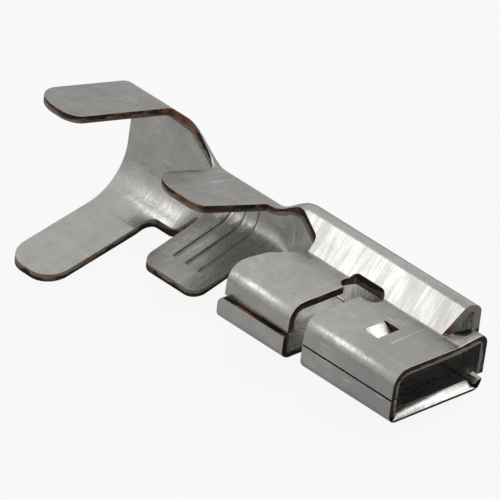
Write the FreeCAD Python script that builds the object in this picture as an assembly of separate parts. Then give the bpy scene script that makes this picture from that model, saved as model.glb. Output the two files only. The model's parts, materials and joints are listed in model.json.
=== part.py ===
import FreeCAD, Part
import math
import os

# Crimp socket contact, stamped and folded from one strip of sheet, in millimetres.
# It is drawn along its own axis: +X runs towards the mouth, which is at X = 0. +Y runs from the
# near wall, where the folded edges meet in a seam, to the spine. Z is 0 at the bottom plate.
# The crimp barrels behind the box open towards -Y. At the end the contact is laid on its side,
# as it comes to rest: on its lower insulation wing and the far corner of the mouth.

# Sheet
SHEET = 0.22
TIGHT_BEND = 0.08

# Box that takes the pin
BOX_HEIGHT = 1.60
BOX_WIDTH = 3.45
BOX_LENGTH = 6.40
NEAR_TOP_BEND = 0.28
SEAM_HEIGHT = 0.74
SEAM_GAP = 0.05

# Rib along the far top corner of the box
RIB_HEIGHT = 0.82
RIB_SLOPE = 52.0
RIB_BEND = 0.06
RIB_FOOT_BEND = 0.06

# Lip in front of the rib, and the notch in the far wall under it
LIP_LENGTH = 0.36
LIP_LENGTH_AT_FOOT = 0.70
LIP_RISE = 0.12
FAR_CURL_HEIGHT = 0.32
FAR_GAP = 0.17
LEAD_IN_LENGTH = 0.27
LEAD_IN_EDGE = 0.07

# Slot that parts the box in two, with its window, which straddles the foot of the rib
FRONT_LENGTH = 3.33
SLOT_WIDTH = 0.57
SLOT_SHORT_OF_RIB = 0.30
WINDOW_FRONT = 2.83
WINDOW_LENGTH = 1.35
WINDOW_WIDTH = 0.58
WINDOW_ROUNDING = 0.45
WINDOW_IN_RIB = 0.14

# Lower near wall of the rear segment, which stands out as a flange
FLANGE_OFFSET = 0.12
FLANGE_CORNER = 0.22

# Pressed tongue in the top plate
TONGUE_TIP = 1.56
TONGUE_LENGTH = 0.50
TONGUE_NEAR = 0.86
TONGUE_WIDTH = 0.80
TONGUE_DROP = 0.26
TONGUE_GAP = 0.04

# Notch between the rear edge of the top plate and the rib, and the rib's own rear edge
NOTCH_DEPTH = 0.67
NOTCH_NEAR = 1.45
NOTCH_RADIUS = 0.15
REAR_EDGE_BOW = 0.11
RIB_END_DEPTH = 0.28

# Both crimp barrels stand out beyond the box's spine. Their wings and edges are measured from
# the outer face of their own spine, and their half gaps are those of the wings' outer faces at
# the gauge reach.
CRIMP_OFFSET = 0.42
GAUGE_REACH = 2.37

# Wire barrel
WIRE_FRONT = 8.13
WIRE_LENGTH = 2.15
WIRE_FLARE = 15.8
WIRE_HALF_GAP = 1.30
WIRE_BEND_UPPER = 0.18
WIRE_BEND_LOWER = 0.55
WIRE_REACH_UPPER = 3.34
WIRE_REACH_LOWER = 2.99
WIRE_CORNER = 0.40
WIRE_WIDE_CORNER = 1.25
SERRATIONS = 3
SERRATION_PITCH = 0.47
SERRATION_WIDTH = 0.13
SERRATION_DEPTH = 0.05
SERRATION_REACH = 2.32

# Insulation barrel
INSULATION_FRONT = 12.13
INSULATION_LENGTH = 1.77
INSULATION_FLARE = 12.4
INSULATION_HALF_GAP = 2.19
INSULATION_BEND_UPPER = 0.76
INSULATION_BEND_LOWER = 1.55
INSULATION_REACH_UPPER = 4.37
INSULATION_REACH_LOWER = 4.47
INSULATION_CORNER_FRONT = 0.45
INSULATION_CORNER_REAR = 1.10
INSULATION_CORNER_LOWER = 0.70

# Low walls of the neck between the barrels and of the trough in front of them
NECK_START_UPPER = 11.68
NECK_START_LOWER = 11.35
NECK_REACH_UPPER = 0.32
NECK_REACH_LOWER = 0.84
NECK_CORNER = 0.30
NECK_WIDE_CORNER = 0.60
TROUGH_REACH_UPPER = 0.67
TROUGH_REACH_LOWER = 1.32
TROUGH_END = 7.35

LOFT_STEPS = 6
FAR = 20.0

MIDDLE = BOX_HEIGHT / 2
SLOT_FRONT = FRONT_LENGTH
SLOT_REAR = FRONT_LENGTH + SLOT_WIDTH
WIRE_REAR = WIRE_FRONT + WIRE_LENGTH
INSULATION_REAR = INSULATION_FRONT + INSULATION_LENGTH
CRIMP_SPINE = BOX_WIDTH + CRIMP_OFFSET
UP = 1
DOWN = -1


def vector(x, y, z):
    return FreeCAD.Vector(x, y, z)


def cross_section(x):
    """A map from (y, z) to the plane across the contact at this x."""
    return lambda y, z: vector(x, y, z)


def side_view(y):
    """A map from (x, z) to the plane along the contact at this y."""
    return lambda x, z: vector(x, y, z)


def plan_view(z):
    """A map from (x, y) to the level plane at this z."""
    return lambda x, y: vector(x, y, z)


def unit(a, b):
    length = math.hypot(b[0] - a[0], b[1] - a[1])
    return (b[0] - a[0]) / length, (b[1] - a[1]) / length


def turn(before, after):
    """Signed angle from one direction to the next, positive to the left."""
    cross = before[0] * after[1] - before[1] * after[0]
    dot = before[0] * after[0] + before[1] * after[1]
    return math.atan2(cross, dot)


def rounded_edges(corners, radii, place, closed=False):
    """Straight runs between corners, joined by tangent arcs of the given radii."""
    count = len(corners)
    starts, ends, arcs = [], [], []
    for i, corner in enumerate(corners):
        if radii[i] == 0:
            starts.append(corner)
            ends.append(corner)
            arcs.append(None)
            continue
        before = unit(corners[i - 1], corner)
        after = unit(corner, corners[(i + 1) % count])
        half = turn(before, after) / 2
        tangent = radii[i] * abs(math.tan(half))
        start = (corner[0] - before[0] * tangent, corner[1] - before[1] * tangent)
        end = (corner[0] + after[0] * tangent, corner[1] + after[1] * tangent)
        inward = (after[0] - before[0], after[1] - before[1])
        size = math.hypot(*inward)
        reach = radii[i] / math.cos(half) - radii[i]
        middle = (corner[0] + inward[0] / size * reach, corner[1] + inward[1] / size * reach)
        starts.append(start)
        ends.append(end)
        arcs.append(middle)
    edges = []
    for i in range(count):
        if arcs[i]:
            edges.append(Part.Arc(place(*starts[i]), place(*arcs[i]), place(*ends[i])).toShape())
        if i + 1 < count or closed:
            following = starts[(i + 1) % count]
            edges.append(Part.LineSegment(place(*ends[i]), place(*following)).toShape())
    return edges


def offset_corners(corners, distance):
    """The corners moved to the left of the path, so that each run moves by the distance."""
    moved = []
    last = len(corners) - 1
    for i, corner in enumerate(corners):
        before = unit(corners[i - 1], corner) if i > 0 else None
        after = unit(corner, corners[i + 1]) if i < last else None
        before = before or after
        after = after or before
        normal = (-before[1] - after[1], before[0] + after[0])
        scale = distance / (1 + before[0] * after[0] + before[1] * after[1])
        moved.append((corner[0] + normal[0] * scale, corner[1] + normal[1] * scale))
    return moved


def sheet_wire(corners, bends, place):
    """Outline of folded sheet whose outer face follows the corners, with the metal to the left.

    bends holds the inside radius at each corner, and 0 at both ends.
    """
    outer_radii, inner_radii = [], []
    for i, bend in enumerate(bends):
        if bend == 0:
            outer_radii.append(0)
            inner_radii.append(0)
            continue
        before = unit(corners[i - 1], corners[i])
        after = unit(corners[i], corners[i + 1])
        inside = turn(before, after) > 0
        outer_radii.append(bend + SHEET if inside else bend)
        inner_radii.append(bend if inside else bend + SHEET)
    inner = offset_corners(corners, SHEET)
    edges = rounded_edges(corners, outer_radii, place)
    edges.append(Part.LineSegment(place(*corners[-1]), place(*inner[-1])).toShape())
    edges += rounded_edges(inner[::-1], inner_radii[::-1], place)
    edges.append(Part.LineSegment(place(*inner[0]), place(*corners[0])).toShape())
    return Part.Wire(Part.sortEdges(edges)[0])


def folded(corners, bends, x_from, x_to):
    """Folded sheet with one cross-section, from x_from to x_to."""
    face = Part.Face(sheet_wire(corners, bends, cross_section(x_from)))
    return face.extrude(vector(x_to - x_from, 0, 0))


def prism(corners, radii, low, high):
    """A solid with a rounded outline in plan, between two heights."""
    edges = rounded_edges(corners, radii, plan_view(low), closed=True)
    face = Part.Face(Part.Wire(Part.sortEdges(edges)[0]))
    return face.extrude(vector(0, 0, high - low))


def block(x_from, x_to, y_from, y_to, z_from, z_to):
    corner = vector(x_from, y_from, z_from)
    return Part.makeBox(x_to - x_from, y_to - y_from, z_to - z_from, corner)


def fused(solids):
    return solids[0].multiFuse(solids[1:])


def blend(a, b, share):
    """A value between a and b that leaves both ends level."""
    eased = share * share * (3 - 2 * share)
    return a + (b - a) * eased


class Root:
    """Half of an open channel: a spine, a bend and a wing that leans out by flare degrees."""

    def __init__(self, spine, top, bend, flare, tip):
        self.spine = spine
        self.top = top
        self.bend = bend
        self.flare = flare
        self.tip = tip

    def toward(self, other, share):
        pairs = zip(vars(self).values(), vars(other).values())
        return Root(*[blend(a, b, share) for a, b in pairs])

    def wire(self, x, side):
        """Closed outline across the contact. side is UP or DOWN from the middle."""
        place = lambda y, height: vector(x, y, MIDDLE + side * height)
        lean = math.radians(self.flare)
        across = (math.sin(lean), math.cos(lean))
        outer = self.bend + SHEET
        centre = (self.spine - outer, self.top - outer)
        half_way = (math.pi / 2 - lean) / 2
        ends = []
        for radius in (outer, self.bend):
            flat = (self.spine - outer + radius, centre[1])
            middle = (centre[0] + radius * math.cos(half_way), centre[1] + radius * math.sin(half_way))
            joint = (centre[0] + radius * across[0], centre[1] + radius * across[1])
            run = (centre[0] + outer * across[0] - self.tip) / math.cos(lean)
            tip = (joint[0] - run * math.cos(lean), joint[1] + run * math.sin(lean))
            ends.append(((flat[0], 0), flat, middle, joint, tip))
        edges = []
        for foot, flat, middle, joint, tip in ends:
            edges.append(Part.LineSegment(place(*foot), place(*flat)).toShape())
            edges.append(Part.Arc(place(*flat), place(*middle), place(*joint)).toShape())
            edges.append(Part.LineSegment(place(*joint), place(*tip)).toShape())
        edges.append(Part.LineSegment(place(*ends[0][0]), place(*ends[1][0])).toShape())
        edges.append(Part.LineSegment(place(*ends[0][-1]), place(*ends[1][-1])).toShape())
        return Part.Wire(Part.sortEdges(edges)[0])


def straight_root(root, side, x_from, x_to):
    face = Part.Face(root.wire(x_from, side))
    return face.extrude(vector(x_to - x_from, 0, 0))


def changing_root(first, last, side, x_from, x_to):
    """A channel half that changes smoothly from one section to another."""
    wires = []
    for i in range(LOFT_STEPS + 1):
        share = i / LOFT_STEPS
        x = x_from + (x_to - x_from) * share
        wires.append(first.toward(last, share).wire(x, side))
    return Part.makeLoft(wires, True, False)


def crimp_root(bend, flare, half_gap, reach):
    """Channel half of a crimp barrel, whose wing reaches this far from the spine."""
    lean = math.radians(flare)
    outer = bend + SHEET
    wing_over_centre = half_gap + (outer - GAUGE_REACH) * math.tan(lean)
    top = wing_over_centre - outer / math.cos(lean) + outer
    return Root(CRIMP_SPINE, top, bend, flare, CRIMP_SPINE - reach)


def insulation_root(bend, reach):
    return crimp_root(bend, INSULATION_FLARE, INSULATION_HALF_GAP, reach)


def wire_root(bend, reach):
    return crimp_root(bend, WIRE_FLARE, WIRE_HALF_GAP, reach)


def rib_root(tip):
    """The rib's crest, seen as a channel half whose wing falls back to the top plate."""
    return Root(BOX_WIDTH, BOX_HEIGHT + RIB_HEIGHT - MIDDLE, RIB_BEND, -RIB_SLOPE, tip)


def box_root(tip):
    """The plain bottom far corner of the box."""
    return Root(BOX_WIDTH, MIDDLE, TIGHT_BEND, 0, tip)


def rib_foot():
    """Y where the rib's outer slope meets the outer face of the top plate."""
    slope = math.radians(RIB_SLOPE)
    outer = RIB_BEND + SHEET
    centre_y = BOX_WIDTH - outer
    centre_z = BOX_HEIGHT + RIB_HEIGHT - outer
    touch_y = centre_y - outer * math.sin(slope)
    touch_z = centre_z + outer * math.cos(slope)
    return touch_y - (touch_z - BOX_HEIGHT) / math.tan(slope)


def rib_crest_corner():
    """Height where the rib's slope would meet the spine's outer face."""
    return BOX_HEIGHT + (BOX_WIDTH - rib_foot()) * math.tan(math.radians(RIB_SLOPE))


def upper_barrels():
    """Upper half of both crimp barrels and of the neck between them."""
    insulation = insulation_root(INSULATION_BEND_UPPER, INSULATION_REACH_UPPER)
    wire = wire_root(WIRE_BEND_UPPER, WIRE_REACH_UPPER)
    corners = barrel_corners(INSULATION_REACH_UPPER, NECK_REACH_UPPER, WIRE_REACH_UPPER)
    radii = [0, INSULATION_CORNER_REAR, INSULATION_CORNER_FRONT, NECK_CORNER]
    radii += [NECK_WIDE_CORNER, WIRE_WIDE_CORNER, WIRE_CORNER, 0]
    solid = barrels(insulation, wire, UP, NECK_START_UPPER)
    return solid.common(prism(corners, radii, MIDDLE, FAR))


def lower_barrels():
    """Lower half of both crimp barrels and of the neck between them."""
    insulation = insulation_root(INSULATION_BEND_LOWER, INSULATION_REACH_LOWER)
    wire = wire_root(WIRE_BEND_LOWER, WIRE_REACH_LOWER)
    corners = barrel_corners(INSULATION_REACH_LOWER, NECK_REACH_LOWER, WIRE_REACH_LOWER)
    radii = [0, INSULATION_CORNER_LOWER, INSULATION_CORNER_LOWER, NECK_CORNER]
    radii += [NECK_CORNER / 2, WIRE_CORNER, WIRE_CORNER, 0]
    solid = barrels(insulation, wire, DOWN, NECK_START_LOWER)
    return solid.common(prism(corners, radii, -FAR, MIDDLE))


def barrels(insulation, wire, side, neck_start):
    return fused([
        straight_root(insulation, side, -INSULATION_REAR, -neck_start),
        changing_root(insulation, wire, side, -neck_start, -WIRE_REAR),
        straight_root(wire, side, -WIRE_REAR, -WIRE_FRONT),
    ])


def barrel_corners(insulation_reach, neck_reach, wire_reach):
    """Plan outline of the wings, from the rear end to the front of the wire barrel."""
    insulation_tip = CRIMP_SPINE - insulation_reach
    neck = CRIMP_SPINE - neck_reach
    wire_tip = CRIMP_SPINE - wire_reach
    return [
        (-INSULATION_REAR, FAR),
        (-INSULATION_REAR, insulation_tip),
        (-INSULATION_FRONT, insulation_tip),
        (-INSULATION_FRONT, neck),
        (-WIRE_REAR, neck),
        (-WIRE_REAR, wire_tip),
        (-WIRE_FRONT, wire_tip),
        (-WIRE_FRONT, FAR),
    ]


def trough():
    """Open channel between the wire barrel and the box, which rises into the rib."""
    edge = CRIMP_SPINE - TROUGH_REACH_LOWER
    start = wire_root(WIRE_BEND_LOWER, TROUGH_REACH_LOWER)
    below = changing_root(start, box_root(edge), DOWN, -WIRE_FRONT, -BOX_LENGTH)
    edge = rib_foot() + SHEET
    start = wire_root(WIRE_BEND_UPPER, CRIMP_SPINE - edge)
    above = changing_root(start, rib_root(edge), UP, -WIRE_FRONT, -BOX_LENGTH)
    return below, above


def serrations():
    """Grooves across the inside of the wire barrel, to be cut from it."""
    grooves = []
    first = -(WIRE_FRONT + WIRE_REAR) / 2 - SERRATION_PITCH * (SERRATIONS - 1) / 2
    for side, bend in ((UP, WIRE_BEND_UPPER), (DOWN, WIRE_BEND_LOWER)):
        inside = wire_root(bend, SERRATION_REACH)
        inside.spine -= SHEET - SERRATION_DEPTH
        inside.top -= SHEET - SERRATION_DEPTH
        inside.bend -= SHEET - SERRATION_DEPTH
        for i in range(SERRATIONS):
            x = first + SERRATION_PITCH * i - SERRATION_WIDTH / 2
            grooves.append(straight_root(inside, side, x, x + SERRATION_WIDTH))
    return grooves


def lower_box():
    """Bottom plate, lower near wall and lower half of the spine."""
    seam = SEAM_HEIGHT - SEAM_GAP / 2
    pieces = []
    for step, start, end in ((FLANGE_OFFSET, BOX_LENGTH, SLOT_REAR), (0, SLOT_FRONT, 0)):
        corners = [(-step, seam), (-step, 0), (BOX_WIDTH, 0), (BOX_WIDTH, MIDDLE)]
        bends = [0, TIGHT_BEND, TIGHT_BEND, 0]
        pieces.append(folded(corners, bends, -start, -end))
    corners = [(slot_end(), 0), (BOX_WIDTH, 0), (BOX_WIDTH, MIDDLE)]
    pieces.append(folded(corners, [0, TIGHT_BEND, 0], -SLOT_REAR, -SLOT_FRONT))
    return fused(pieces).cut(flange_corner())


def flange_corner():
    """What is taken off the flange's upper rear corner to round it."""
    x = -BOX_LENGTH
    seam = SEAM_HEIGHT - SEAM_GAP / 2
    corners = [(x, seam - FLANGE_CORNER), (x, seam), (x + FLANGE_CORNER, seam)]
    square = Part.makePolygon([vector(px, -FLANGE_OFFSET, pz) for px, pz in corners + corners[:1]])
    corner = Part.Face(square).extrude(vector(0, SHEET, 0))
    centre = vector(x + FLANGE_CORNER, -FLANGE_OFFSET, seam - FLANGE_CORNER)
    return corner.cut(Part.makeCylinder(FLANGE_CORNER, SHEET, centre, vector(0, 1, 0)))


def upper_box():
    """Top plate, upper near wall, rib and upper half of the spine."""
    seam = SEAM_HEIGHT + SEAM_GAP / 2
    foot = rib_foot()
    with_rib = [(BOX_WIDTH, MIDDLE), (BOX_WIDTH, rib_crest_corner()), (foot, BOX_HEIGHT),
                (0, BOX_HEIGHT), (0, seam)]
    bends = [0, RIB_BEND, RIB_FOOT_BEND, NEAR_TOP_BEND, 0]
    return folded(with_rib, bends, -BOX_LENGTH, -LIP_LENGTH)


def lip():
    """Lip of the top plate at the mouth, with the flap that it sends down the far side."""
    seam = SEAM_HEIGHT + SEAM_GAP / 2
    corners = [(BOX_WIDTH, FAR_CURL_HEIGHT + FAR_GAP), (BOX_WIDTH, BOX_HEIGHT + LIP_RISE),
               (rib_foot(), BOX_HEIGHT), (0, BOX_HEIGHT), (0, seam)]
    bends = [0, TIGHT_BEND, TIGHT_BEND, NEAR_TOP_BEND, 0]
    return folded(corners, bends, -LIP_LENGTH_AT_FOOT, 0)


def behind_lip():
    """Plan region behind the slanted shear line that parts the rib from the lip."""
    near = rib_foot()
    corners = [(-FAR, near), (-LIP_LENGTH_AT_FOOT, near), (-LIP_LENGTH, BOX_WIDTH - RIB_BEND),
               (-LIP_LENGTH, FAR), (-FAR, FAR)]
    return prism(corners, [0] * len(corners), -FAR, FAR)


def ahead_of_rib():
    near = rib_foot()
    corners = [(FAR, near), (-LIP_LENGTH_AT_FOOT, near), (-LIP_LENGTH, BOX_WIDTH - RIB_BEND),
               (-LIP_LENGTH, FAR), (FAR, FAR)]
    return prism(corners, [0] * len(corners), MIDDLE, FAR)


def slot_end():
    return rib_foot() - SLOT_SHORT_OF_RIB


def slot_and_window():
    """The slot across the near side of the box and the long window at the foot of the rib."""
    slot = block(-SLOT_REAR, -SLOT_FRONT, -FAR, slot_end(), -FAR, BOX_HEIGHT + SHEET)
    rear = -(WINDOW_FRONT + WINDOW_LENGTH)
    far = rib_foot() + WINDOW_IN_RIB
    near = far - WINDOW_WIDTH
    round_end = WINDOW_WIDTH * WINDOW_ROUNDING
    corners = [(rear, near), (-WINDOW_FRONT, near), (-WINDOW_FRONT, far), (rear, far)]
    window = prism(corners, [round_end] * 4, MIDDLE, FAR)
    return [slot, window]


def lead_in():
    """Wedge that thins the bottom plate at the mouth, so that the pin slides in."""
    corners = [(-LEAD_IN_LENGTH, SHEET), (0, LEAD_IN_EDGE), (FAR, LEAD_IN_EDGE), (FAR, SHEET)]
    near = SHEET / 2
    face = Part.Face(Part.makePolygon([vector(x, near, z) for x, z in corners + corners[:1]]))
    return face.extrude(vector(0, BOX_WIDTH - 2 * near, 0))


def tongue():
    """Tongue pressed down into the box from the top plate, with its opening."""
    root = TONGUE_TIP + TONGUE_LENGTH
    opening = block(-root, -TONGUE_TIP + TONGUE_GAP, TONGUE_NEAR, TONGUE_NEAR + TONGUE_WIDTH,
                    BOX_HEIGHT - 2 * SHEET, BOX_HEIGHT + SHEET)
    corners = [(-TONGUE_TIP, BOX_HEIGHT - TONGUE_DROP), (-root, BOX_HEIGHT), (-root - SHEET, BOX_HEIGHT)]
    near = TONGUE_NEAR + TONGUE_GAP
    wire = sheet_wire(corners, [0, TIGHT_BEND, 0], side_view(near))
    blade = Part.Face(wire).extrude(vector(0, TONGUE_WIDTH - 2 * TONGUE_GAP, 0))
    return opening, blade


def behind_top_plate():
    """What is cleared behind the bowed rear edge of the top plate and beside the trough.

    The cut runs up the rib beside the notch, and back along the trough's upper edge.
    """
    rear = -BOX_LENGTH
    apex = rear + NOTCH_DEPTH
    bowed = rear + REAR_EDGE_BOW
    foot = rib_foot()
    edge = CRIMP_SPINE - TROUGH_REACH_UPPER
    corners = [(-WIRE_FRONT, -FAR), (bowed, -FAR), (bowed, 0), (rear, NOTCH_NEAR / 2),
               (bowed, NOTCH_NEAR), (apex, foot), (apex, foot + RIB_END_DEPTH),
               (-TROUGH_END, edge), (-WIRE_FRONT, edge)]
    radii = [0, 0, 0, NOTCH_NEAR, NOTCH_RADIUS, NOTCH_RADIUS, NOTCH_RADIUS, NECK_CORNER, 0]
    return prism(corners, radii, SEAM_HEIGHT, FAR)


def far_notch():
    """Gap in the far wall at the mouth, between the flap and the curl of the bottom plate."""
    return block(-LIP_LENGTH, FAR, BOX_WIDTH - 2 * SHEET, FAR,
                 FAR_CURL_HEIGHT, FAR_CURL_HEIGHT + FAR_GAP)


def contact():
    opening, blade = tongue()
    below, above = trough()
    rib_box = upper_box().cut(ahead_of_rib())
    front_lip = lip().cut(behind_lip())
    upper = fused([rib_box, front_lip, above]).cut(opening).cut(behind_top_plate())
    lower = fused([lower_box().cut(lead_in()), below])
    whole = fused([upper, lower, upper_barrels(), lower_barrels(), blade])
    for cutter in slot_and_window() + [far_notch()] + serrations():
        whole = whole.cut(cutter)
    return whole.removeSplitter()


def resting_axes():
    """Directions of the laid contact's X, Y and Z, in the frame that it is drawn in."""
    across = math.tan(math.radians(INSULATION_FLARE))
    wing = MIDDLE - INSULATION_HALF_GAP - (CRIMP_SPINE - GAUGE_REACH) * across
    mouth = -BOX_WIDTH * across
    along = (mouth - wing) / INSULATION_FRONT
    up = vector(-along, -across, 1).normalize()
    ahead = (vector(1, 0, 0) - up * up.x).normalize()
    return ahead, up.cross(ahead), up


def laid(shape):
    """The contact as it rests, centred on its footprint, with its lowest point at Z = 0."""
    ahead, side, up = resting_axes()
    turn_back = FreeCAD.Rotation(ahead, side, up, "ZXY").inverted()
    placed = shape.copy()
    placed.Placement = FreeCAD.Placement(vector(0, 0, 0), turn_back)
    box = placed.optimalBoundingBox()
    shift = vector(-box.Center.x, -box.Center.y, -box.ZMin)
    placed.Placement = FreeCAD.Placement(shift, turn_back)
    return placed


def report_point(name, placed, point, direction):
    place = placed.Placement
    spot = place.multVec(point)
    axis = place.Rotation.multVec(direction)
    print(name, [round(c, 4) for c in spot], "axis", [round(c, 5) for c in axis])


def main():
    os.makedirs("parts", exist_ok=True)
    solid = contact()
    placed = laid(solid)
    placed.exportStep("parts/socket_contact.step")
    print("solids", len(placed.Solids), "valid", placed.isValid(), "volume", round(placed.Volume, 4))
    box = placed.BoundBox
    print("size", round(box.XLength, 3), round(box.YLength, 3), round(box.ZLength, 3))
    forward = vector(1, 0, 0)
    report_point("mouth", placed, vector(0, BOX_WIDTH / 2, MIDDLE), forward)
    gauge = CRIMP_SPINE - GAUGE_REACH
    wire = vector(-(WIRE_FRONT + WIRE_REAR) / 2, gauge, MIDDLE)
    report_point("wire barrel", placed, wire, forward)
    insulation = vector(-(INSULATION_FRONT + INSULATION_REAR) / 2, gauge, MIDDLE)
    report_point("insulation barrel", placed, insulation, forward)
    report_point("bottom plate", placed, vector(-FRONT_LENGTH / 2, BOX_WIDTH / 2, 0), vector(0, 0, -1))


main()
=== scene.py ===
# %% [markdown]
# # A stamped crimp contact, lit and finished in Blender
#
# The real object is one strip of tin-plated copper alloy, about 14 mm long. A press cuts it out
# flat and folds it into a box for a pin, a barrel for the wire and a barrel for its insulation.
# The shape comes ready from the CAD model. This lesson softens its sheared edges, gives the
# sheet and its bare cut edges their metals, and lights it as a small product photograph.

import json
import math

import bmesh
import bpy
from mathutils import Matrix, Vector
from mathutils.bvhtree import BVHTree


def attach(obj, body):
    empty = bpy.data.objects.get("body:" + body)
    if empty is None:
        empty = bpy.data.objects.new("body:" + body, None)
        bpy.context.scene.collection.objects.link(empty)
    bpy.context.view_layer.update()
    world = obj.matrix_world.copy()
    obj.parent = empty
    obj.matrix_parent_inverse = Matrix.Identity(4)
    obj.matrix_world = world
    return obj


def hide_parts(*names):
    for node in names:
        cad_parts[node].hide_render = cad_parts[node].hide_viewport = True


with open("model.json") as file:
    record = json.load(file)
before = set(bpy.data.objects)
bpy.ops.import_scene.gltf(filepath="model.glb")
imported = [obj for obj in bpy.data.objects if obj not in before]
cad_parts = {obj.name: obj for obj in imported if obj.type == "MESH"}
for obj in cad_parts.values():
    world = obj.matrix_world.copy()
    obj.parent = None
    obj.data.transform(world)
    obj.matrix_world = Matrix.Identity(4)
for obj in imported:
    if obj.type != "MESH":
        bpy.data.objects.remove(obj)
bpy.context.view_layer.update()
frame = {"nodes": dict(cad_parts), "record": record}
MM = 0.001
NODE = "socket_contact"

# %% [markdown]
# ## The contact's own directions
#
# The contact rests tipped over on one wing, so none of its faces are level or upright. Its own
# directions could be measured from the mesh. The record already states them: the mouth's axis
# runs along the contact, and the bottom plate faces straight down from it.

# %% Read the contact's directions
mounts = {mount["name"]: mount for mount in frame["record"]["mounts"]}
MOUTH = Vector(mounts["mouth"]["pos_m"])
ALONG = Vector(mounts["mouth"]["axis"])
UPWARD = -Vector(mounts["bottom_plate"]["axis"])
ACROSS = UPWARD.cross(ALONG)


def own_place(point):
    """A point in mm along, across and up the contact, from the middle of its mouth."""
    step = (point - MOUTH) / MM
    return Vector((step.dot(ALONG), step.dot(ACROSS), step.dot(UPWARD)))


def frame_place(along, across, up):
    """The other way round: a point of the frame, in metres."""
    return MOUTH + (ALONG * along + ACROSS * across + UPWARD * up) * MM


print("Along", [round(c, 3) for c in ALONG], "up", [round(c, 3) for c in UPWARD])

# %% [markdown]
# ## The camera
#
# The photograph was taken from above, in front of the mouth and to its left, with a long lens
# and the camera slightly rolled. A camera could be placed by trial, or solved from a few edges
# of the object whose lengths are known. It was solved, so the picture and the model line up.
# The long lens keeps the contact's parallel edges nearly parallel, as they are in the picture.

# %% Place the camera
VIEW_TARGET = Vector((0.2156, 0.0252, 2.3718)) * MM
VIEW_AZIMUTH = -39.836
VIEW_ELEVATION = 35.303
VIEW_ROLL = -6.105
VIEW_DISTANCE = 211.75 * MM
LENS = 576
SENSOR = 36
NEAREST_SEEN = 0.01
FURTHEST_SEEN = 10.0


def direction(azimuth, elevation):
    """Unit vector from the object towards something seen at this azimuth and elevation."""
    level = math.cos(math.radians(elevation))
    turn = math.radians(azimuth)
    height = math.sin(math.radians(elevation))
    return Vector((level * math.cos(turn), level * math.sin(turn), height))


def aimed(place, target, roll=0.0):
    """Matrix of a camera or lamp that stands at a place and looks at a target."""
    facing = (target - place).to_track_quat("-Z", "Y").to_matrix().to_4x4()
    return Matrix.Translation(place) @ facing @ Matrix.Rotation(math.radians(roll), 4, "Z")


lens = bpy.data.cameras.new("product_camera")
lens.lens = LENS
lens.sensor_width = SENSOR
lens.clip_start = NEAREST_SEEN
lens.clip_end = FURTHEST_SEEN
camera = bpy.data.objects.new("product_camera", lens)
bpy.context.scene.collection.objects.link(camera)
eye = VIEW_TARGET + direction(VIEW_AZIMUTH, VIEW_ELEVATION) * VIEW_DISTANCE
camera.matrix_world = aimed(eye, VIEW_TARGET, VIEW_ROLL)
bpy.context.scene.camera = camera
print("Camera at, in mm:", [round(c / MM, 1) for c in eye])

# %% [markdown]
# ## Light
#
# Satin metal shows its surroundings more than its own colour, so the surroundings are the
# light. Small hard lamps would leave dots of glare. Wide area lamps work like the soft boxes of
# a studio: one behind on the left makes the slopes and the bends shine, and two on the far side
# whiten the lead-in and the tongue. The world is grey above and darker near the horizon, so
# that the edges that turn away from the camera come out dark, as they do in the photograph. To
# the camera itself the world is white, and the metal sees a little of that white too.

# %% Set the light
SCENE = bpy.context.scene
SCENE.view_settings.view_transform = "Standard"
HORIZON = (0.28, 0.277, 0.272, 1)
SKY = (0.70, 0.70, 0.69, 1)
HORIZON_END = 0.02
SKY_START = 0.36
WHITE = (1, 1, 1, 1)
SKY_METAL_SHARE = 0.06


def named_nodes(tree, **kinds):
    """New nodes of a tree, by plain names."""
    return {name: tree.nodes.new(kind) for name, kind in kinds.items()}


def white_share(tree, seen, mirrored):
    """How white the background is to a ray: to the camera's, or as metal mirrors it."""
    n = named_nodes(tree, path="ShaderNodeLightPath", direct="ShaderNodeMath",
                    metal="ShaderNodeMath", share="ShaderNodeMath")
    n["direct"].operation = "MAXIMUM"
    n["metal"].operation = "MULTIPLY"
    n["metal"].inputs[1].default_value = mirrored
    n["share"].operation = "MULTIPLY_ADD"
    n["share"].inputs[1].default_value = seen
    link = tree.links.new
    link(n["path"].outputs["Is Camera Ray"], n["direct"].inputs[0])
    link(n["path"].outputs["Is Transmission Ray"], n["direct"].inputs[1])
    link(n["path"].outputs["Is Glossy Ray"], n["metal"].inputs[0])
    link(n["direct"].outputs[0], n["share"].inputs[0])
    link(n["metal"].outputs[0], n["share"].inputs[2])
    return n["share"].outputs[0]


def studio_world():
    """A world that goes from the horizon's grey to the sky's with height."""
    world = bpy.data.worlds.new("studio")
    world.use_nodes = True
    tree = world.node_tree
    place = tree.nodes.new("ShaderNodeTexCoord")
    height = tree.nodes.new("ShaderNodeSeparateXYZ")
    ramp = tree.nodes.new("ShaderNodeValToRGB")
    white = tree.nodes.new("ShaderNodeMix")
    white.data_type = "RGBA"
    white.inputs[7].default_value = WHITE
    ramp.color_ramp.elements[0].position = HORIZON_END
    ramp.color_ramp.elements[0].color = HORIZON
    ramp.color_ramp.elements[1].position = SKY_START
    ramp.color_ramp.elements[1].color = SKY
    tree.links.new(place.outputs["Generated"], height.inputs[0])
    tree.links.new(height.outputs["Z"], ramp.inputs["Fac"])
    tree.links.new(white_share(tree, 1.0, SKY_METAL_SHARE), white.inputs["Factor"])
    tree.links.new(ramp.outputs["Color"], white.inputs[6])
    tree.links.new(white.outputs[2], tree.nodes["Background"].inputs["Color"])
    SCENE.world = world


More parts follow.
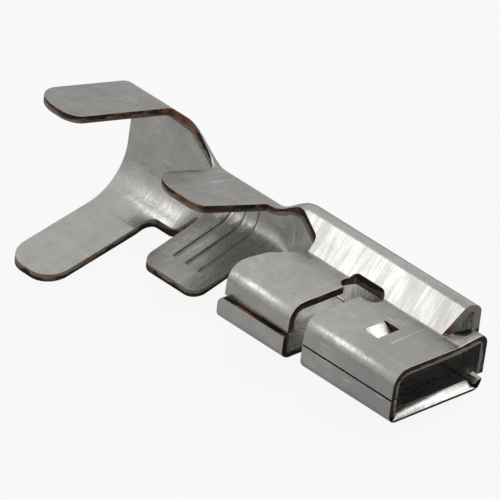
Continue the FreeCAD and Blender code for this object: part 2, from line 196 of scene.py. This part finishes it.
def soft_box(name, azimuth, elevation, width, depth, power):
    """A rectangular lamp that faces the contact. Its sizes are in mm, and its power in watts."""
    lamp = bpy.data.lights.new(name, "AREA")
    lamp.shape = "RECTANGLE"
    lamp.size = width * MM
    lamp.size_y = depth * MM
    lamp.energy = power
    box = bpy.data.objects.new(name, lamp)
    SCENE.collection.objects.link(box)
    middle = Vector((0, 0, LAMP_AIM * MM))
    place = middle + direction(azimuth, elevation) * LAMP_DISTANCE * MM
    box.matrix_world = aimed(place, middle)
    print(name, "at azimuth", azimuth, "elevation", elevation)


LAMP_DISTANCE = 260
LAMP_AIM = 2
SOFT_BOXES = {
    "left_box": {"azimuth": -138, "elevation": 44, "width": 110, "depth": 90, "power": 0.052},
    "far_box": {"azimuth": 76, "elevation": 38, "width": 170, "depth": 130, "power": 0.118},
    "front_box": {"azimuth": 48, "elevation": 36, "width": 110, "depth": 80, "power": 0.055},
}
studio_world()
for box_name, setting in SOFT_BOXES.items():
    soft_box(box_name, **setting)

# %% [markdown]
# ## The floor
#
# The photograph has a plain white ground. A brighter lamp would whiten the floor, but the metal
# with it. Instead the floor keeps its own pale colour for the light it scatters, and for rays
# that come straight from the camera most of it simply glows white. The metal sees some of that
# glow too. What is left of the scattered light still holds the contact's soft shadow.

# %% Lay the floor
FLOOR_HALF_SIZE = 900
FLOOR_COLOUR = (0.50, 0.50, 0.50, 1)
BACKDROP_SHARE = 0.90
METAL_SHARE = 0.10


def floor_material():
    material = bpy.data.materials.new("pale_ground")
    material.use_nodes = True
    tree = material.node_tree
    tree.nodes.clear()
    n = named_nodes(tree, out="ShaderNodeOutputMaterial", mix="ShaderNodeMixShader",
                    scatter="ShaderNodeBsdfDiffuse", glow="ShaderNodeEmission")
    n["scatter"].inputs["Color"].default_value = FLOOR_COLOUR
    n["glow"].inputs["Color"].default_value = WHITE
    link = tree.links.new
    link(white_share(tree, BACKDROP_SHARE, METAL_SHARE), n["mix"].inputs["Fac"])
    link(n["scatter"].outputs[0], n["mix"].inputs[1])
    link(n["glow"].outputs[0], n["mix"].inputs[2])
    link(n["mix"].outputs[0], n["out"].inputs["Surface"])
    return material


def floor():
    bm = bmesh.new()
    bmesh.ops.create_grid(bm, x_segments=1, y_segments=1, size=FLOOR_HALF_SIZE * MM)
    mesh = bpy.data.meshes.new("ground")
    bm.to_mesh(mesh)
    bm.free()
    mesh.materials.append(floor_material())
    ground = bpy.data.objects.new("ground", mesh)
    SCENE.collection.objects.link(ground)


floor()
print("Floor half size in mm:", FLOOR_HALF_SIZE)

# %% [markdown]
# ## A helper for node groups
#
# Grain and scratches are used by more than one metal, so each becomes a node group: a small
# machine with named inputs and outputs, built once and placed in every material with its own
# values. A group only puts out masks and heights. The shader stays in the material.

# %% Make node groups
def new_group(name, inputs, outputs):
    """An empty shader node group. Inputs are (name, socket type, starting value)."""
    group = bpy.data.node_groups.new(name, "ShaderNodeTree")
    for label, kind, value in inputs:
        socket = group.interface.new_socket(label, in_out="INPUT", socket_type=kind)
        if value is not None:
            socket.default_value = value
    for label, kind in outputs:
        group.interface.new_socket(label, in_out="OUTPUT", socket_type=kind)
    start = group.nodes.new("NodeGroupInput")
    end = group.nodes.new("NodeGroupOutput")
    print("Node group", name, "puts out", [label for label, _ in outputs])
    return group, start, end


def noise(tree, coordinates, scale, detail, roughness=0.5):
    node = tree.nodes.new("ShaderNodeTexNoise")
    node.inputs["Scale"].default_value = scale
    node.inputs["Detail"].default_value = detail
    node.inputs["Roughness"].default_value = roughness
    tree.links.new(coordinates, node.inputs["Vector"])
    return node.outputs["Fac"]


def ranged(tree, value, low, high, to_low=0.0, to_high=1.0, shape="SMOOTHSTEP"):
    """The value stretched from one range to another, and held at its ends."""
    node = tree.nodes.new("ShaderNodeMapRange")
    node.interpolation_type = shape
    node.inputs["From Min"].default_value = low
    node.inputs["From Max"].default_value = high
    node.inputs["To Min"].default_value = to_low
    node.inputs["To Max"].default_value = to_high
    tree.links.new(value, node.inputs["Value"])
    return node.outputs["Result"]


def maths(tree, operation, first, second):
    """A Math node. Either operand is a socket or a number."""
    node = tree.nodes.new("ShaderNodeMath")
    node.operation = operation
    for socket, operand in zip(node.inputs, (first, second)):
        if isinstance(operand, (int, float)):
            socket.default_value = operand
        else:
            tree.links.new(operand, socket)
    return node.outputs[0]


def vector_maths(tree, operation, first, second, result="Vector"):
    """A Vector Math node between two sockets."""
    node = tree.nodes.new("ShaderNodeVectorMath")
    node.operation = operation
    tree.links.new(first, node.inputs[0])
    tree.links.new(second, node.inputs[1])
    return node.outputs[result]


def stretched(tree, coordinates, scale, turn=(0, 0, 0)):
    """Coordinates that run faster along some axes, after a turn in degrees."""
    node = tree.nodes.new("ShaderNodeMapping")
    node.inputs["Rotation"].default_value = [math.radians(a) for a in turn]
    node.inputs["Scale"].default_value = scale
    tree.links.new(coordinates, node.inputs["Vector"])
    return node.outputs["Vector"]


# %% [markdown]
# ## Rolled grain
#
# The strip was rolled before it was stamped, and the rollers left fine lines that run across
# the contact and follow its sheet round every bend. An image of brushed metal would need the
# folded sheet unwrapped. A noise that changes fast along the contact and slowly across it gives
# the same lines on every face, because the folds all run the same way.

# %% Build the grain group
LINE_HEIGHT = 0.0025
BAND_HEIGHT = 0.006
WAVE_HEIGHT = 0.030
PIT_HEIGHT = 0.004
LINE_STRETCH = (18.0, 0.9, 0.9)
BAND_STRETCH = (4.0, 0.6, 0.6)
CLOUD_SCALE = 1.7
PIT_SCALE = 15.0
LINE_RANGE = (0.34, 0.66)
CLOUD_RANGE = (0.33, 0.67)
SPECK_RANGE = (0.35, 0.65)


def own_turn():
    """Turn in degrees that lays the frame's axes along the contact's."""
    rows = Matrix((ALONG, ACROSS, UPWARD))
    return [math.degrees(a) for a in rows.to_euler("XYZ")]


def rolled_grain():
    """Masks from 0 to 1, and the surface's height in mm."""
    group, start, end = new_group(
        "rolled_grain",
        [("Place", "NodeSocketVector", None)],
        [("Lines", "NodeSocketFloat"), ("Clouds", "NodeSocketFloat"), ("Specks", "NodeSocketFloat"),
         ("Height", "NodeSocketFloat")],
    )
    place = start.outputs["Place"]
    own = stretched(group, place, (1, 1, 1), own_turn())
    lines = noise(group, stretched(group, own, LINE_STRETCH), 1.0, 3.0, 0.6)
    bands = noise(group, stretched(group, own, BAND_STRETCH), 1.0, 2.0)
    clouds = noise(group, own, CLOUD_SCALE, 5.0, 0.6)
    pits = noise(group, own, PIT_SCALE, 4.0, 0.6)
    height = maths(group, "MULTIPLY", lines, LINE_HEIGHT)
    for part, size in ((bands, BAND_HEIGHT), (clouds, WAVE_HEIGHT), (pits, PIT_HEIGHT)):
        height = maths(group, "ADD", height, maths(group, "MULTIPLY", part, size))
    half_lines = maths(group, "MULTIPLY", lines, 0.5)
    half_bands = maths(group, "MULTIPLY", bands, 0.5)
    both = maths(group, "ADD", half_lines, half_bands)
    group.links.new(ranged(group, both, *LINE_RANGE), end.inputs["Lines"])
    group.links.new(ranged(group, clouds, *CLOUD_RANGE), end.inputs["Clouds"])
    group.links.new(ranged(group, pits, *SPECK_RANGE), end.inputs["Specks"])
    group.links.new(height, end.inputs["Height"])
    return group


ROLLED_GRAIN = rolled_grain()

# %% [markdown]
# ## Hairline scratches
#
# Contacts tumble against each other on their way to the bag, which leaves short bright hairlines
# in all directions. They could be drawn one by one. A very stretched noise, cut off near its
# peaks, leaves thin streaks of limited length, and two of them at different turns cross.

# %% Build the scratch group
STREAKS = (
    {"turn": (20, 0, 38), "scale": (0.8, 22.0, 7.0)},
    {"turn": (-35, 10, -64), "scale": (0.7, 19.0, 9.0)},
)
STREAK_PEAKS = (0.70, 0.76)
GATE_SCALE = 0.9
GATE_RANGE = (0.50, 0.62)


def hairlines():
    """A mask of crossing streaks, let through only where a slow noise opens the gate."""
    group, start, end = new_group(
        "hairlines",
        [("Place", "NodeSocketVector", None), ("Amount", "NodeSocketFloat", 0.5)],
        [("Mask", "NodeSocketFloat")],
    )
    place = start.outputs["Place"]
    masks = []
    for streak in STREAKS:
        streaks = noise(group, stretched(group, place, **streak), 1.0, 1.0)
        masks.append(ranged(group, streaks, *STREAK_PEAKS))
    gate = ranged(group, noise(group, place, GATE_SCALE, 2.0), *GATE_RANGE)
    crossing = maths(group, "MAXIMUM", masks[0], masks[1])
    gated = maths(group, "MULTIPLY", crossing, gate)
    group.links.new(maths(group, "MULTIPLY", gated, start.outputs["Amount"]), end.inputs["Mask"])
    return group


HAIRLINES = hairlines()

# %% [markdown]
# ## A marked scratch and a painted highlight
#
# Two bright lines are clear enough to have a place of their own: a short painted highlight on
# the upper wire wing, where the back of a serration stands up as a ridge, and a fine scratch on
# the front of the top plate. They could be thin pieces of geometry. A mask of the distance to a
# line between two points costs no faces, and follows the sheet.

# %% Build the line group for a scratch and a painted highlight
# Painted highlight: a bright line on the upper wire wing that stands in for light on a serration's
# ridge.
WING_PAINTED_HIGHLIGHT = {
    "begin": Vector((-2.436, 1.203, 2.726)),
    "finish": Vector((-2.628, 2.119, 2.249)),
    "width": 0.11,
    "amount": 0.9,
}
PLATE_SCRATCH = {
    "begin": Vector((5.904, -0.275, 2.172)),
    "finish": Vector((5.842, 0.855, 1.927)),
    "width": 0.070,
    "amount": 0.75,
}
RAGGED_SCALE = 9.0
SOFT_RIM = 0.7
FADE = 0.7


def scratch_and_highlight_line():
    """A line from one point to another, in mm, that fades towards its far end."""
    group, start, end = new_group(
        "scratch_and_highlight_line",
        [("Place", "NodeSocketVector", None), ("From", "NodeSocketVector", None),
         ("Run", "NodeSocketVector", None), ("Inverse Square", "NodeSocketFloat", 1.0),
         ("Width", "NodeSocketFloat", 0.03), ("Amount", "NodeSocketFloat", 0.5)],
        [("Mask", "NodeSocketFloat")],
    )
    step = vector_maths(group, "SUBTRACT", start.outputs["Place"], start.outputs["From"])
    along = vector_maths(group, "DOT_PRODUCT", step, start.outputs["Run"], "Value")
    part = maths(group, "MULTIPLY", along, start.outputs["Inverse Square"])
    held = ranged(group, part, 0.0, 1.0, shape="LINEAR")
    foot = group.nodes.new("ShaderNodeVectorMath")
    foot.operation = "SCALE"
    group.links.new(start.outputs["Run"], foot.inputs[0])
    group.links.new(held, foot.inputs["Scale"])
    far = vector_maths(group, "DISTANCE", step, foot.outputs[0], "Value")
    wobble = noise(group, start.outputs["Place"], RAGGED_SCALE, 2.0)
    ragged = maths(group, "MULTIPLY", wobble, start.outputs["Width"])
    inside = maths(group, "SUBTRACT", 1.0, maths(group, "DIVIDE", far, ragged))
    faded = maths(group, "SUBTRACT", 1.0, maths(group, "MULTIPLY", held, FADE))
    mask = maths(group, "MULTIPLY", ranged(group, inside, 0.0, SOFT_RIM), faded)
    group.links.new(maths(group, "MULTIPLY", mask, start.outputs["Amount"]), end.inputs["Mask"])
    return group


SINGLE_SCRATCH_AND_HIGHLIGHT = scratch_and_highlight_line()

# %% [markdown]
# ## Tin plate
#
# Tin plate is a soft grey metal with a satin face. One grey with one roughness looks like paint.
# Here the clouds shift the grey a little, the rolled lines change how sharp the reflection is,
# and a low bump of lines and pits breaks up the highlights on the bends, as it does in the
# photograph. The front end of the box is painted a darker grey than its rear, as painted shade.

# %% Build the tin plate
PER_MM = 1000.0
TIN_DARK = (0.49, 0.485, 0.47, 1)
TIN_LIGHT = (0.575, 0.57, 0.555, 1)
TIN_SPECK = (0.43, 0.425, 0.41, 1)
# Colour of the scratches, and of the painted highlight on the upper wire wing.
TIN_SCRATCH_AND_HIGHLIGHT = (0.86, 0.86, 0.85, 1)
SPECK_SHARE = 0.35
# Painted shade: the darker grey that the front end of the box is painted with.
FRONT_PAINTED_SHADE = (0.41, 0.406, 0.395, 1)
SHADE_FROM = -2.5
SHADE_TO = -1.1
SHADE_SHARE = 0.75
HAIRLINE_AMOUNT = 0.75
TIN_ROUGHNESS = (0.22, 0.35)
TIN_BUMP = 0.65


def metal_material(name):
    """A Principled metal with its place in millimetres. Returns its tree, shader and place."""
    material = bpy.data.materials.new(name)
    material.use_nodes = True
    tree = material.node_tree
    shader = tree.nodes["Principled BSDF"]
    shader.inputs["Metallic"].default_value = 1.0
    coordinates = tree.nodes.new("ShaderNodeTexCoord")
    place = stretched(tree, coordinates.outputs["Object"], (PER_MM, PER_MM, PER_MM))
    return material, tree, shader, place


def placed_group(tree, group, place, **values):
    node = tree.nodes.new("ShaderNodeGroup")
    node.node_tree = group
    tree.links.new(place, node.inputs["Place"])
    for label, value in values.items():
        node.inputs[label].default_value = value
    return node.outputs


def blended(tree, share, first, second):
    """Colour that goes from the first to the second. Each is a socket or a colour."""
    node = tree.nodes.new("ShaderNodeMix")
    node.data_type = "RGBA"
    tree.links.new(share, node.inputs["Factor"])
    for socket, colour in ((node.inputs[6], first), (node.inputs[7], second)):
        if isinstance(colour, tuple):
            socket.default_value = colour
        else:
            tree.links.new(colour, socket)
    return node.outputs[2]


def bumped(tree, shader, height, strength):
    """Turns a height in mm into the shader's normal."""
    node = tree.nodes.new("ShaderNodeBump")
    node.inputs["Strength"].default_value = strength
    node.inputs["Distance"].default_value = MM
    tree.links.new(height, node.inputs["Height"])
    tree.links.new(node.outputs["Normal"], shader.inputs["Normal"])


def front_shade_share(tree, place):
    """Share of the painted shade: 0 on the barrels and 1 on the front end of the box."""
    heading = tree.nodes.new("ShaderNodeVectorMath")
    heading.operation = "DOT_PRODUCT"
    heading.inputs[1].default_value = ALONG
    tree.links.new(place, heading.inputs[0])
    offset = MOUTH.dot(ALONG) / MM
    return ranged(tree, heading.outputs["Value"], SHADE_FROM + offset, SHADE_TO + offset)


def tin_plate():
    material, tree, shader, place = metal_material("tin_plate_satin")
    grain = placed_group(tree, ROLLED_GRAIN, place)
    scratch = placed_group(tree, HAIRLINES, place, Amount=HAIRLINE_AMOUNT)
    clouded = blended(tree, grain["Clouds"], TIN_DARK, TIN_LIGHT)
    specks = maths(tree, "MULTIPLY", grain["Specks"], SPECK_SHARE)
    grey = blended(tree, specks, clouded, TIN_SPECK)
    # Painted shade: the front end of the box is blended towards a darker grey.
    front = maths(tree, "MULTIPLY", front_shade_share(tree, place), SHADE_SHARE)
    grey = blended(tree, front, grey, FRONT_PAINTED_SHADE)
    mask = scratch["Mask"]
    # The wire wing's line is a painted highlight. The plate's line and the hairlines are scratches.
    for one in (WING_PAINTED_HIGHLIGHT, PLATE_SCRATCH):
        run = one["finish"] - one["begin"]
        values = {"From": one["begin"], "Run": run, "Inverse Square": 1 / run.length_squared}
        single = placed_group(tree, SINGLE_SCRATCH_AND_HIGHLIGHT, place, Width=one["width"],
                              Amount=one["amount"], **values)
        mask = maths(tree, "MAXIMUM", mask, single["Mask"])
    tree.links.new(blended(tree, mask, grey, TIN_SCRATCH_AND_HIGHLIGHT), shader.inputs["Base Color"])
    roughness = ranged(tree, grain["Lines"], 0.0, 1.0, *TIN_ROUGHNESS)
    tree.links.new(roughness, shader.inputs["Roughness"])
    bumped(tree, shader, grain["Height"], TIN_BUMP)
    return material


TIN_PLATE = tin_plate()
print("Material", TIN_PLATE.name)

# %% [markdown]
# ## Bare cut edges
#
# The strip was plated before it was cut, so the sheared edges show the bare copper alloy. A
# punch first slides along the metal, which leaves a smooth band smeared with tin, and then
# tears it, which leaves a rough brown one. The border between the two can't be painted by
# place, because the sheet turns every way. The mesh carries it as an attribute instead, which
# is 1 on the sheet's outer face and 0 on its inner face, and noise makes the border wander.
# At the front end of the rib the photograph shows the smooth band only, so there it is wider.

# %% Build the cut edge
EDGE_DARK = (0.050, 0.031, 0.022, 1)
EDGE_TAN = (0.26, 0.145, 0.092, 1)
EDGE_SMEAR = (0.25, 0.235, 0.21, 1)
OUTER_SIDE = "outer_side"
TEAR_FROM = 0.46
TEAR_BORDER = 0.10
RIB_END = frame_place(-0.75, 1.40, 1.35)
RIB_END_REACH = (0.60, 0.75)
WANDER_SCALE = 2.3
WANDER = (-0.22, 0.22)
PATCH_SCALE = 1.1
PATCH_RANGE = (0.47, 0.66)
EDGE_ROUGHNESS = (0.34, 0.58)
EDGE_BUMP = 1.0


def bare_alloy():
    material, tree, shader, place = metal_material("bare_alloy_edge")
    grain = placed_group(tree, ROLLED_GRAIN, place)
    side = tree.nodes.new("ShaderNodeAttribute")
    side.attribute_name = OUTER_SIDE
    wander = ranged(tree, noise(tree, place, WANDER_SCALE, 4.0, 0.6), 0.3, 0.7, *WANDER)
    level = maths(tree, "ADD", side.outputs["Fac"], wander)
    far = tree.nodes.new("ShaderNodeVectorMath")
    far.operation = "DISTANCE"
    far.inputs[1].default_value = RIB_END / MM
    tree.links.new(place, far.inputs[0])
    away = ranged(tree, far.outputs["Value"], *RIB_END_REACH)
    level = maths(tree, "MULTIPLY", level, away)
    torn = ranged(tree, level, TEAR_FROM - TEAR_BORDER, TEAR_FROM + TEAR_BORDER)
    patches = ranged(tree, noise(tree, place, PATCH_SCALE, 4.0, 0.65), *PATCH_RANGE)
    brown = blended(tree, patches, EDGE_DARK, EDGE_TAN)
    smear = blended(tree, patches, EDGE_SMEAR, EDGE_TAN)
    tree.links.new(blended(tree, torn, smear, brown), shader.inputs["Base Color"])
    roughness = ranged(tree, torn, 0.0, 1.0, *EDGE_ROUGHNESS)
    tree.links.new(roughness, shader.inputs["Roughness"])
    bumped(tree, shader, grain["Height"], EDGE_BUMP)
    return material


BARE_ALLOY = bare_alloy()
print("Material", BARE_ALLOY.name)

# %% [markdown]
# ## The contact's sheet
#
# The CAD mesh has perfect knife edges, and a real sheared edge is slightly rolled over. The CAD
# part itself is never changed, so a merged copy stands for it. Its plated faces and its cut
# edges need different metals. They could be told apart by hand, but a ray does it: sent into
# the metal from a plated face, it comes out one sheet away, and from a cut edge much further.
# Where the cut runs round a bend the ray is short, so the cut spreads there from its neighbours.

# %% Find the cut edges
SHEET = 0.22
MERGE = 0.001
SKIN = 0.002
CUT_DEPTH = 1.36
GROOVE = (0.10, 0.16)
SMOOTH = 25.0
UPRIGHT = 0.05


def merged_copy(node):
    """The node's triangles as one closed surface."""
    bm = bmesh.new()
    bm.from_mesh(node.data)
    bmesh.ops.remove_doubles(bm, verts=bm.verts, dist=MERGE * MM)
    return bm


def gap_ahead(tree, face, heading):
    """Distance in mm from the face to the next surface, along a heading."""
    reached = tree.ray_cast(face.calc_center_median() + heading * SKIN * MM, heading)[3]
    return math.inf if reached is None else reached / MM


def surely_cut(tree, face):
    """True where the metal behind the face is deep, and it isn't a pressed groove's wall."""
    in_groove = GROOVE[0] < gap_ahead(tree, face, face.normal) < GROOVE[1]
    return not in_groove and gap_ahead(tree, face, -face.normal) > CUT_DEPTH * SHEET


def smooth_neighbours(face, limit):
    """Faces that meet this one at an edge that turns less than the limit in degrees."""
    for edge in face.edges:
        if edge.is_manifold and edge.calc_face_angle() < math.radians(limit):
            yield from (other for other in edge.link_faces if other is not face)


def upright(face):
    return abs(face.normal.dot(UPWARD)) < UPRIGHT


def cut_faces_of(bm):
    tree = BVHTree.FromBMesh(bm)
    found = dict.fromkeys(face for face in bm.faces if surely_cut(tree, face))
    queue = list(found)
    for face in queue:
        for other in smooth_neighbours(face, SMOOTH):
            if other not in found and upright(face) and upright(other):
                found[other] = None
                queue.append(other)
    return found


surface = merged_copy(frame["nodes"][NODE])
cut_faces = cut_faces_of(surface)
print("Faces", len(surface.faces), "of which cut", len(cut_faces))

# %% [markdown]
# ## The sheet's two sides
#
# The cut edge's two bands need to know which side of the sheet they are on. The sides could be
# painted on as vertex weights by hand. Instead the plated faces are gathered into patches that
# sharp edges part from each other, and a patch is an outer one where most of it is turned away
# from the contact's long midline.

# %% Mark the sheet's outer side
SHARP = 38.0
MIDLINE = Vector((0, -0.22, 0))


def looks_outward(face):
    """True where the face is turned away from the contact's long midline."""
    away = own_place(face.calc_center_median()) - MIDLINE
    normal = face.normal
    return away.y * normal.dot(ACROSS) + away.z * normal.dot(UPWARD) > 0


def plated_patches(bm, cut):
    """Lists of plated faces that are joined by smooth edges."""
    left = {face for face in bm.faces if face not in cut}
    patches = []
    while left:
        patch = [left.pop()]
        for face in patch:
            fresh = {other for other in smooth_neighbours(face, SHARP) if other in left}
            left -= fresh
            patch.extend(fresh)
        patches.append(patch)
    return patches


def mark_sides(bm, cut):
    """Gives cut faces material 1, and the points of outer plated patches the value 1."""
    outer = bm.verts.layers.float.new(OUTER_SIDE)
    for face in cut:
        face.material_index = 1
    patches = plated_patches(bm, cut)
    for patch in patches:
        area = sum(face.calc_area() for face in patch)
        outward = sum(face.calc_area() for face in patch if looks_outward(face))
        if outward > area / 2:
            for face in patch:
                for vert in face.verts:
                    vert[outer] = 1.0
    return patches


print("Plated patches", len(mark_sides(surface, cut_faces)))

# %% [markdown]
# ## Rolled edges
#
# A narrow bevel rolls every sharp edge over, so that it catches a thin line of light. A bevel
# modifier could do it, but in a few tight corners the bevel finds no room, and the shading of
# two faces that meet there runs together in dark streaks. Cutting it into the mesh lets the
# edges that are still sharp afterwards be marked. Weighted normals then keep the flat faces flat
# in shading, and leave the turn to the bevel and to the bends.

# %% Finish the sheet
FLAT_TOLERANCE = 0.4
EDGE_ROLL = 0.010
ROLL_STEPS = 2
STILL_SHARP = 75.0


def roll_edges(bm):
    """Bevels the sharp edges, and marks those that find no room for it."""
    sharp = [edge for edge in bm.edges if edge.calc_face_angle(0) > math.radians(SHARP)]
    bmesh.ops.bevel(bm, geom=sharp, offset=EDGE_ROLL * MM, offset_type="OFFSET", profile=0.5,
                    segments=ROLL_STEPS, affect="EDGES", clamp_overlap=False, material=-1)
    for edge in bm.edges:
        edge.smooth = edge.calc_face_angle(0) < math.radians(STILL_SHARP)
    return len(sharp)


def finished_piece(bm, name):
    bmesh.ops.dissolve_limit(bm, angle_limit=math.radians(FLAT_TOLERANCE), verts=bm.verts,
                             edges=bm.edges, delimit={"MATERIAL"})
    print("Edges rolled over:", roll_edges(bm))
    for face in bm.faces:
        face.smooth = True
    mesh = bpy.data.meshes.new(name)
    bm.to_mesh(mesh)
    bm.free()
    mesh.materials.append(TIN_PLATE)
    mesh.materials.append(BARE_ALLOY)
    piece = bpy.data.objects.new(name, mesh)
    SCENE.collection.objects.link(piece)
    even = piece.modifiers.new("even_shading", "WEIGHTED_NORMAL")
    even.keep_sharp = True
    return piece


contact = finished_piece(surface, "folded_contact")
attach(contact, "root")
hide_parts(NODE)
print("Piece", contact.name, "has", len(contact.data.polygons), "faces")
